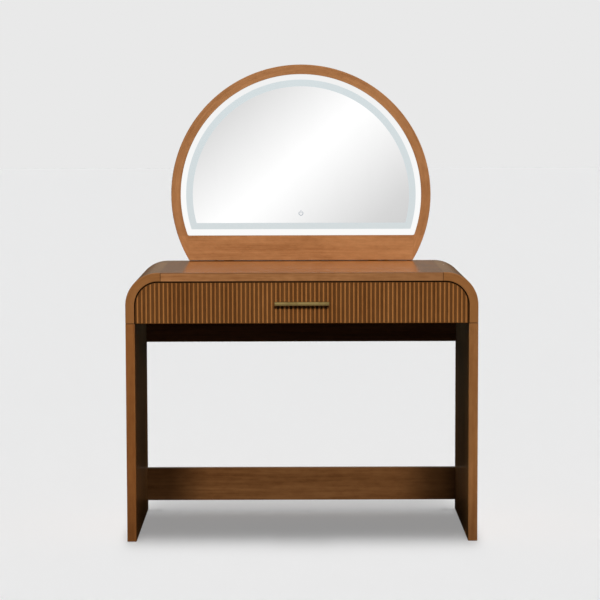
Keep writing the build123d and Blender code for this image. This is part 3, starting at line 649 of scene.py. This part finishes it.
pane = bmesh.new()
front_y = glass_low[1]
band_y = front_y + band_sink
silver, frost, margin = 0, 1, 2
loops = [
    (glass_radius, glass_foot, glass_corner, glass_high[1], margin),
    (glass_radius, glass_foot, glass_corner, front_y + ground, margin),
    (glass_radius - ground, glass_foot + ground, glass_corner - ground, front_y, margin),
    (band_outer, band_outer_foot, band_corner, front_y, margin),
    (band_outer, band_outer_foot, band_corner, band_y, frost),
    (band_inner, band_inner_foot, band_corner, band_y, frost),
    (band_inner, band_inner_foot, band_corner, front_y, frost),
]
previous = None
for radius, foot, corner, y, index in loops:
    current = loop_of(pane, truncated_outline(radius, foot, corner), y)
    if previous:
        stitch(pane, previous, current, index)
    else:
        back_face = pane.faces.new(current)
        back_face.material_index = margin
    previous = current
centre_face = pane.faces.new(list(reversed(previous)))
centre_face.material_index = silver
bmesh.ops.recalc_face_normals(pane, faces=pane.faces)
mirror_pane = new_piece(
    "mirror_pane", pane, (mirror_silver, band_frost, margin_glass), "carcass"
)
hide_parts("mirror_glass")


# ---------------------------------------------------------------- touch mark
def raised_strip(mesh_tools, centre_line, width, y_front, y_back):
    """A closed strip of even width along a line of points in X and Z, with rounded ends."""
    half = width / 2
    left, right = [], []
    for i, (x, z) in enumerate(centre_line):
        before = centre_line[max(i - 1, 0)]
        after = centre_line[min(i + 1, len(centre_line) - 1)]
        run = Vector((after[0] - before[0], after[1] - before[1])).normalized()
        left.append((x - run.y * half, z + run.x * half))
        right.append((x + run.y * half, z - run.x * half))

    def cap(point, direction):
        out = []
        for step in range(1, 6):
            angle = math.pi / 2 - math.pi * step / 6
            side = Vector((-direction.y, direction.x)) * math.sin(angle)
            ahead = direction * math.cos(angle)
            out.append((point[0] + half * (side.x + ahead.x), point[1] + half * (side.y + ahead.y)))
        return out

    end = Vector(centre_line[-1]) - Vector(centre_line[-2])
    begin = Vector(centre_line[0]) - Vector(centre_line[1])
    outline = left + cap(centre_line[-1], end.normalized()) + list(reversed(right))
    outline += cap(centre_line[0], begin.normalized())
    front = [mesh_tools.verts.new((x, y_front, z)) for x, z in outline]
    back = [mesh_tools.verts.new((x, y_back, z)) for x, z in outline]
    stitch(mesh_tools, front, back, 0)
    mesh_tools.faces.new(front)
    mesh_tools.faces.new(list(reversed(back)))


touch_z = (sensor_low[2] + sensor_high[2]) / 2
mark = bmesh.new()
mark_radius = 0.0062
mark_width = 0.0020
mark_front = front_y - 0.00012
mark_back = front_y + 0.0001
gap_angle = math.radians(46)
mark_steps = 48
ring_line = []
for step in range(mark_steps + 1):
    angle = math.pi / 2 + gap_angle + (2 * math.pi - 2 * gap_angle) * step / mark_steps
    ring_line.append((mark_radius * math.cos(angle), touch_z + mark_radius * math.sin(angle)))
raised_strip(mark, ring_line, mark_width, mark_front, mark_back)
bar_foot = 0.0010
bar_length = 0.0076
bar_steps = 8
bar_line = [
    (0.0, touch_z + bar_foot + bar_length * step / bar_steps) for step in range(bar_steps + 1)
]
raised_strip(mark, bar_line, mark_width, mark_front, mark_back)
bmesh.ops.recalc_face_normals(mark, faces=mark.faces)
new_piece("touch_mark", mark, (mark_frost,), "carcass")

# ---------------------------------------------------------------- floor
floor_half = 40.0
floor_drop = 0.0002  # keeps the floor clear of the soles
floor_mesh = bpy.data.meshes.new("floor")
floor_tools = bmesh.new()
bmesh.ops.create_grid(floor_tools, x_segments=8, y_segments=8, size=floor_half)
floor_tools.to_mesh(floor_mesh)
floor_tools.free()
floor = bpy.data.objects.new("floor", floor_mesh)
scene.collection.objects.link(floor)
floor.location = (0.0, 0.0, -floor_drop)
floor.visible_diffuse = False
floor.visible_glossy = False
floor.visible_transmission = False
floor_material, g = material_graph("floor_paint")
floor_albedo = 0.60
floor_glow = 0.277
x, y, z = g.place()
# Soft shade on the floor under and behind the stretcher, between the legs.
behind_stretcher = g.remap(y, desk_high[1] - 0.12, desk_high[1], smooth=True)
near_enough = g.remap(y, desk_high[1] + 0.36, desk_high[1] + 0.18, smooth=True)
between_legs = g.remap(g.math("ABSOLUTE", x), leg_high[0] + 0.05, leg_high[0] - 0.08, smooth=True)
kept_off = g.math("MULTIPLY", g.math("MULTIPLY", behind_stretcher, near_enough), between_legs)
speckle = g.noise(g.position(), 60.0, 2.0)
paint_base = (floor_albedo, floor_albedo * 1.004, floor_albedo * 1.008, 1.0)
paint_shade = g.math("MULTIPLY_ADD", kept_off, -0.40, g.remap(speckle, 0.0, 1.0, 0.995, 1.005))
paint = g.tone(paint_base, paint_shade)
g.surface(
    Base_Color=paint,
    Roughness=1.0,
    Specular_IOR_Level=0.0,
    Emission_Color=(1.0, 1.0, 1.0, 1.0),
    Emission_Strength=floor_glow,
)
floor_mesh.materials.append(floor_material)


def link_light(emitter, state, objects):
    """Let the emitter light only the objects (INCLUDE), or all but the objects (EXCLUDE)."""
    group = bpy.data.collections.new(emitter.name + "_receivers")
    for listed in objects:
        group.objects.link(listed)
    for entry in group.collection_objects:
        entry.light_linking.link_state = state
    emitter.light_linking.receiver_collection = group


# ---------------------------------------------------------------- reflection card
def card_object(name, centre, width, height):
    """An upright card that faces the front, and that only reflections see."""
    tools = bmesh.new()
    corners = [(-1, -1), (1, -1), (1, 1), (-1, 1)]
    tools.faces.new([
        tools.verts.new((centre[0] + a * width / 2, centre[1], centre[2] + b * height / 2))
        for a, b in reversed(corners)
    ])
    mesh = bpy.data.meshes.new(name)
    tools.to_mesh(mesh)
    tools.free()
    card = bpy.data.objects.new(name, mesh)
    scene.collection.objects.link(card)
    card.visible_camera = False
    card.visible_diffuse = False
    card.visible_shadow = False
    card.visible_transmission = False
    return card


card_centre = (0.0, -4.0, 1.0)
card = card_object("studio_card", card_centre, 2.6, 2.2)
card_material, g = material_graph("card_glow")
x, y, z = g.place()
# A bright ridge runs up to the right. These are a point on it, in X and Z, and its normal.
ridge_point = (0.239, 1.180)
ridge_normal = (0.655, -0.755)
ridge_reach = 0.8
off_x = g.math("MULTIPLY", g.math("SUBTRACT", x, ridge_point[0]), ridge_normal[0])
off_z = g.math("MULTIPLY", g.math("SUBTRACT", z, ridge_point[1]), ridge_normal[1])
off = g.math("ADD", off_x, off_z)
fall = g.add("ValToRGB", {0: g.remap(off, -ridge_reach, ridge_reach)})
ramp = fall.color_ramp
ramp.interpolation = "LINEAR"
stops = (
    (0.0, rgb(188, 188, 188)),
    (0.17, rgb(203, 203, 203)),
    (0.42, rgb(244, 244, 244)),
    (0.50, rgb(255, 255, 255)),
    (0.58, rgb(246, 246, 246)),
    (0.80, rgb(212, 212, 212)),
    (1.0, rgb(194, 194, 194)),
)
while len(ramp.elements) < len(stops):
    ramp.elements.new(0.5)
for element, (place, colour) in zip(ramp.elements, stops):
    element.position = place
    element.color = colour
glow = g.add("Emission", {"Color": fall.outputs[0], "Strength": 1.06})
clear = g.add("BsdfTransparent")
# The card fades out before its edges.
across = g.math("ABSOLUTE", x)
upwards = g.math("ABSOLUTE", g.math("SUBTRACT", z, card_centre[2]))
edge_x = g.remap(across, 1.28, 0.95, smooth=True)
edge_z = g.remap(upwards, 1.08, 0.72, smooth=True)
shown = g.math("MULTIPLY", edge_x, edge_z)
blend = g.add("MixShader", {0: shown, 1: clear.outputs[0], 2: glow.outputs[0]})
output = g.add("OutputMaterial", {0: blend.outputs[0]})
card.data.materials.append(card_material)
link_light(card, "INCLUDE", [mirror_pane])

# The floor as the mirror shows it from other angles: reflections don't see the real one.
pale = rgb(233, 233, 233)
mirrored_floor_size = 60.0
mirrored_floor_drop = 0.0005
mirrored_floor = card_object(
    "mirrored_floor", (0.0, 0.0, 0.0), mirrored_floor_size, mirrored_floor_size
)
mirrored_floor.rotation_euler = (math.radians(90), 0.0, 0.0)
mirrored_floor.location = (0.0, 0.0, -mirrored_floor_drop)
mirrored_material, g = material_graph("mirrored_floor_glow")
g.add("OutputMaterial", {0: g.add("Emission", {"Color": pale, "Strength": 0.9}).outputs[0]})
mirrored_material.cycles.emission_sampling = "NONE"
mirrored_floor.data.materials.append(mirrored_material)
link_light(mirrored_floor, "INCLUDE", [mirror_pane])

# ---------------------------------------------------------------- world
world = bpy.data.worlds.new("studio")
scene.world = world
world.use_nodes = True
g = Graph(world.node_tree)
path = g.add("LightPath")
direction = g.add("SeparateXYZ", {0: g.add("TexCoord").outputs["Generated"]}).outputs
seen = g.add("Background", {"Color": pale})
# What reflections show of the room. Most reflections that look down end at the mirrored floor,
# so the colour below shows only just under the horizon.
front_of_room = (0.16, 0.158, 0.155, 1.0)
rear_of_room = (0.157, 0.158, 0.138, 1.0)
ceiling = (0.30, 0.30, 0.30, 1.0)
below = (0.045, 0.044, 0.042, 1.0)
behind = g.remap(direction[1], -0.2, 0.6, smooth=True)
upward = g.remap(direction[2], 0.0, 0.04, smooth=True)
overhead = g.remap(direction[2], 0.3, 0.8, smooth=True)
studio = g.mix(behind, front_of_room, rear_of_room)
studio = g.mix(overhead, studio, ceiling)
studio = g.mix(upward, below, studio)
mirrored = g.add("Background", {"Color": studio})
ambient = g.add("Background", {"Color": (0.020, 0.019, 0.018, 1.0)})
not_seen = g.add(
    "MixShader",
    {0: path.outputs["Is Glossy Ray"], 1: ambient.outputs[0], 2: mirrored.outputs[0]},
)
both = g.add(
    "MixShader",
    {0: path.outputs["Is Camera Ray"], 1: not_seen.outputs[0], 2: seen.outputs[0]},
)
g.add("OutputWorld", {0: both.outputs[0]})


# ---------------------------------------------------------------- lamps
def aimed(place, target):
    """Rotation of a lamp at place that shines towards target."""
    return (Vector(target) - Vector(place)).to_track_quat("-Z", "Y").to_euler()


def lamp_object(name, kind, place, target, power, colour, state, objects, **settings):
    """A lamp aimed at the target, that lights only some objects."""
    data = bpy.data.lights.new(name, kind)
    data.energy = power
    data.color = colour
    for setting, value in settings.items():
        setattr(data, setting, value)
    lamp = bpy.data.objects.new(name, data)
    scene.collection.objects.link(lamp)
    lamp.location = place
    lamp.rotation_euler = aimed(place, target)
    link_light(lamp, state, objects)
    return lamp


white = (1.0, 1.0, 1.0)
warm = (1.0, 0.985, 0.965)
middle = (0.0, 0.0, 0.75)
soft_sun = math.radians(7)
softer_sun = math.radians(20)
floor_only = [floor]
floor_and_front = [floor, nodes["drawer_front"]]
for name, kind, place, power, colour, unlit, settings in (
    ("front", "SUN", (0.10, -2.0, 1.60), 1.38, warm, floor_only, {"angle": soft_sun}),
    ("key", "AREA", (0.1, -3.0, 2.0), 19.0, warm, floor_only, {"size": 0.8}),
    ("top", "AREA", (0.0, -1.3, 2.7), 17.0, warm, floor_and_front, {"size": 0.9}),
    ("rear", "SUN", (0.0, 3.0, 1.85), 2.2, white, floor_only, {"angle": softer_sun}),
    ("side_right", "SUN", (3.0, 0.0, 1.45), 1.3, white, floor_only, {"angle": softer_sun}),
    ("side_left", "SUN", (-3.0, 0.0, 1.45), 1.1, white, floor_only, {"angle": softer_sun}),
):
    lamp = lamp_object(name, kind, place, middle, power, colour, "EXCLUDE", unlit, **settings)
    lamp.visible_glossy = False

# Metal needs soft lamps of its own to reflect. The legs' inner faces look at each other, away from
# every lamp above, and get two small ones that aren't reflected.
handle = [nodes["handle_bar"], nodes["handle_posts"]]
side_panels = [nodes["left_side_panel"], nodes["right_side_panel"]]
metal_slots = ("zinc_plate", "screw_steel", "cast_zinc", "nickel", "black_steel")
fittings = [
    nodes[part["node"]]
    for part in frame["record"]["subparts"]
    if part["material_slot"] in metal_slots
]
cool = (1.0, 1.9, 4.6)
knee = (0.0, 0.0, 0.64)
for name, place, target, power, colour, lit, size in (
    ("brass_lamp", (0.0, -1.6, 1.75), (0.0, -0.25, 0.68), 16.5, white, handle, 3.0),
    ("brass_fill", (0.0, -1.3, 0.01), (0.0, -1.3, 1.0), 11.2, white, handle, 2.6),
    ("knee_fill_left", knee, (-1.0, 0.0, 0.64), 0.46, cool, side_panels, 0.3),
    ("knee_fill_right", knee, (1.0, 0.0, 0.64), 0.46, cool, side_panels, 0.3),
    ("fittings_rear", (0.0, 3.0, 0.4), (0.0, 0.25, 0.75), 60.0, white, fittings, 4.0),
    ("fittings_side", (2.6, -1.6, 0.8), (0.3, -0.2, 0.66), 40.0, white, fittings, 3.0),
):
    lamp = lamp_object(name, "AREA", place, target, power, colour, "INCLUDE", lit, size=size)
    lamp.visible_glossy = lit is not side_panels

# Soft overhead light for the floor: small suns in a row, front to back, strongest in the middle.
# The stretcher doesn't block them, and the floor's material has its shade instead.
floor_suns = 11
floor_power = 2.77
floor_sun_spacing = 3.2  # degrees
floor_sun_lean = 0.5  # degrees to the rear
bell_width = 0.6
middle_step = (floor_suns - 1) / 2
weights = [
    math.exp(-(((step - middle_step) / middle_step / bell_width) ** 2))
    for step in range(floor_suns)
]
stretcher_group = bpy.data.collections.new("stretcher_casts_no_hard_shade")
stretcher_group.objects.link(nodes["lower_stretcher"])
stretcher_group.collection_objects[0].light_linking.link_state = "EXCLUDE"
for step, weight in enumerate(weights):
    lean = math.radians(floor_sun_lean + floor_sun_spacing * (step - middle_step))
    sun = lamp_object(
        f"floor_sun_{step}", "SUN", (0.0, 3 * math.sin(lean), 3 * math.cos(lean)), (0.0, 0.0, 0.0),
        floor_power * weight / sum(weights), white, "INCLUDE", floor_only, angle=math.radians(5),
    )
    sun.light_linking.blocker_collection = stretcher_group

# ---------------------------------------------------------------- camera
# A long lens from far off, as in the photo.
camera_place = (-0.0261, -6.2435, 1.2239)
camera_data = bpy.data.cameras.new("camera")
camera_data.sensor_width = 36.0
camera_data.lens = 127.87
camera_data.clip_start = 0.05
camera_data.clip_end = 200.0
camera = bpy.data.objects.new("camera", camera_data)
scene.collection.objects.link(camera)
yaw = math.radians(0.199)
pitch = math.radians(5.06)
roll = math.radians(-0.135)
level = math.cos(pitch)
forward = Vector((math.sin(yaw) * level, math.cos(yaw) * level, -math.sin(pitch)))
level_right = Vector((math.cos(yaw), -math.sin(yaw), 0.0))
level_up = level_right.cross(forward)
camera_x = math.cos(roll) * level_right + math.sin(roll) * level_up
camera_y = -math.sin(roll) * level_right + math.cos(roll) * level_up
turn = Matrix((camera_x, camera_y, -forward)).transposed().to_4x4()
camera.matrix_world = Matrix.Translation(camera_place) @ turn
scene.camera = camera
scene.view_settings.view_transform = "Standard"
